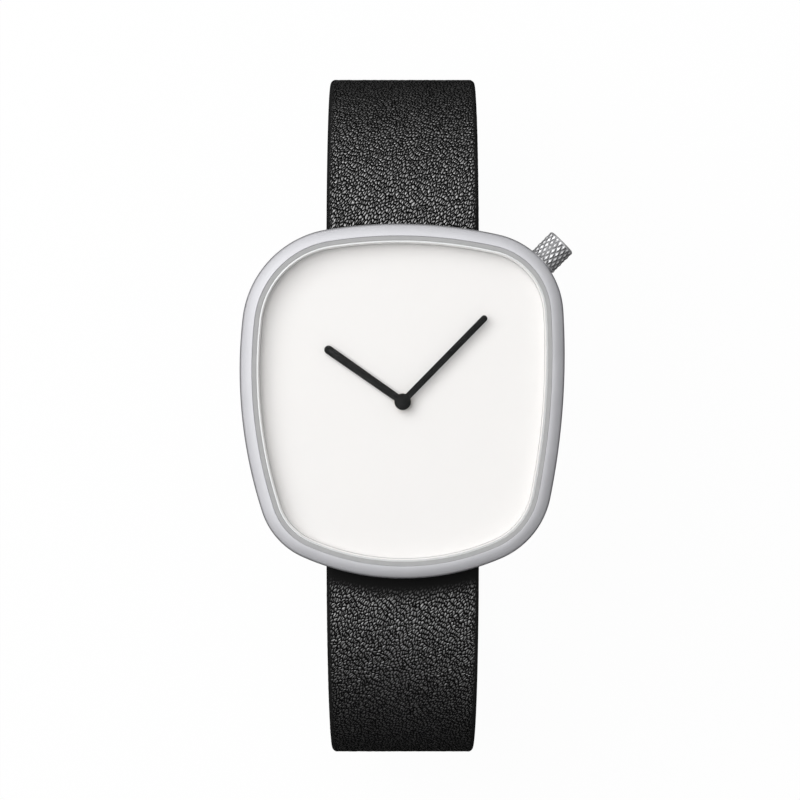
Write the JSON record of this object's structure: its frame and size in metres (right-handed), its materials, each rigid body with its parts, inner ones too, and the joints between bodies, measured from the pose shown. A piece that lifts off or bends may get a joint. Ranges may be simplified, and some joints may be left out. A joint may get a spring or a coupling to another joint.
{
  "type": "quartz wristwatch",
  "caption": "Quartz wristwatch: pebble-shaped satin steel case, bare white dial, black bar hands, knurled crown between 1 and 2, black leather strap buckled into a loop.",
  "frame": {"origin": "where the hands' axis meets the outer face of the case back", "axes": "+Z out of the dial, +Y to 12, +X to 3"},
  "size_m": [0.0386, 0.0814, 0.0484],
  "materials": {
    "satin_steel": "fine bead-blasted satin",
    "bright_steel": "smooth",
    "plain_steel": "stamped",
    "crystal_glass": "polished flat with a chamfered edge",
    "grey_seal": "matt grey",
    "black_seal": "matt black",
    "dial_white": "matt white lacquer",
    "hand_black": "satin black",
    "movement_brass": "turned",
    "board_green": "solder mask",
    "moulded_plastic": "moulded",
    "chip_resin": "matt resin",
    "coil_wire": "enamelled copper wire",
    "cell_steel": "nickel plated",
    "black_leather": "pebble-grained, rolled edges",
    "lining_leather": "smooth"
  },
  "bodies": {
    "case": {"case_middle": "satin_steel", "crystal": "crystal_glass", "crystal_gasket": "grey_seal", "case_back": "plain_steel", "case_back_gasket": "black_seal", "crown_tube": "bright_steel", "dial": "dial_white", "movement_holder": "moulded_plastic", "mainplate": "movement_brass", "train_bridge": "movement_brass", "circuit_board": "board_green", "driver_chip": "chip_resin", "quartz_can": "bright_steel", "coil": "coil_wire", "coil_core": "plain_steel", "stator": "plain_steel", "battery": "cell_steel", "battery_clamp": "bright_steel", "movement_screws": "bright_steel", "spring_bar_12": "plain_steel", "spring_bar_6": "plain_steel", "strap_12": "black_leather", "strap_12_lining": "lining_leather", "strap_6": "black_leather", "strap_6_lining": "lining_leather", "fixed_keeper": "black_leather"},
    "minute_hand": {"minute_hand": "hand_black", "cannon_pinion": "plain_steel"},
    "hour_hand": {"hour_hand": "hand_black", "hour_wheel": "movement_brass"},
    "minute_wheel": {"minute_wheel": "movement_brass"},
    "setting_wheel": {"setting_wheel": "movement_brass"},
    "center_wheel": {"center_wheel": "movement_brass"},
    "intermediate_wheel": {"intermediate_wheel": "movement_brass"},
    "rotor": {"rotor": "plain_steel"},
    "yoke": {"yoke": "plain_steel"},
    "sliding_pinion": {"sliding_pinion": "plain_steel"},
    "crown": {"crown": "bright_steel", "stem": "bright_steel", "crown_gasket": "black_seal"},
    "setting_lever": {"setting_lever": "plain_steel"},
    "free_keeper": {"free_keeper": "black_leather"},
    "buckle_frame": {"buckle_frame": "satin_steel", "buckle_bar": "plain_steel"},
    "buckle_tongue": {"buckle_tongue": "satin_steel"}
  },
  "joints": [
    {"name": "minute_hand_turn", "type": "hinge", "parent": "case", "child": "minute_hand", "pos_m": [0, 0, 0.0055], "axis": [0, 0, -1], "continuous": true},
    {"name": "hour_hand_turn", "type": "hinge", "parent": "case", "child": "hour_hand", "pos_m": [0, 0, 0.005], "axis": [0, 0, -1], "continuous": true},
    {"name": "minute_wheel_turn", "type": "hinge", "parent": "case", "child": "minute_wheel", "pos_m": [0.0017, 0.0017, 0.0035], "axis": [0, 0, -1], "continuous": true},
    {"name": "setting_wheel_turn", "type": "hinge", "parent": "case", "child": "setting_wheel", "pos_m": [0.00368, 0.00368, 0.0035], "axis": [0, 0, -1], "continuous": true},
    {"name": "center_wheel_turn", "type": "hinge", "parent": "case", "child": "center_wheel", "pos_m": [0, 0, 0.002], "axis": [0, 0, -1], "continuous": true},
    {"name": "intermediate_wheel_turn", "type": "hinge", "parent": "case", "child": "intermediate_wheel", "pos_m": [0.00153, -0.00265, 0.002], "axis": [0, 0, -1], "continuous": true},
    {"name": "rotor_turn", "type": "hinge", "parent": "case", "child": "rotor", "pos_m": [0.00389, -0.00401, 0.002], "axis": [0, 0, -1], "continuous": true},
    {"name": "yoke_slide", "type": "slide", "parent": "case", "child": "yoke", "axis": [0.7071, 0.7071, 0], "range_m": [-0.0005, 0]},
    {"name": "crown_turn", "type": "hinge", "parent": "yoke", "child": "sliding_pinion", "pos_m": [0.005, 0.005, 0.0027], "axis": [0.7071, 0.7071, 0], "continuous": true},
    {"name": "crown_pull", "type": "slide", "parent": "sliding_pinion", "child": "crown", "axis": [0.7071, 0.7071, 0], "range_m": [0, 0.0015]},
    {"name": "setting_lever_swing", "type": "hinge", "parent": "case", "child": "setting_lever", "pos_m": [0.00916, 0.00454, 0.0027], "axis": [0, 0, 1], "range_deg": [-20, 0]},
    {"name": "free_keeper_slide", "type": "slide", "parent": "case", "child": "free_keeper", "axis": [0, 1, 0], "range_m": [-0.0024, 0.003]},
    {"name": "buckle_swing", "type": "hinge", "parent": "case", "child": "buckle_frame", "pos_m": [0, 0.001, -0.03665], "axis": [1, 0, 0], "range_deg": [0, 2.5]},
    {"name": "tongue_swing", "type": "hinge", "parent": "buckle_frame", "child": "buckle_tongue", "pos_m": [0, 0.001, -0.03665], "axis": [1, 0, 0], "range_deg": [0, 2.5]}
  ],
  "couplings": [
    {"joint": "hour_hand_turn", "follows": "minute_hand_turn", "ratio": 0.083333},
    {"joint": "minute_wheel_turn", "follows": "minute_hand_turn", "ratio": -0.33333},
    {"joint": "setting_wheel_turn", "follows": "minute_hand_turn", "ratio": 0.6},
    {"joint": "center_wheel_turn", "follows": "minute_hand_turn", "ratio": 1},
    {"joint": "intermediate_wheel_turn", "follows": "minute_hand_turn", "ratio": -8},
    {"joint": "rotor_turn", "follows": "minute_hand_turn", "ratio": 60},
    {"joint": "yoke_slide", "follows": "crown_pull", "ratio": -0.33333},
    {"joint": "setting_lever_swing", "follows": "crown_pull", "rad_per_m": -231.5}
  ]
}
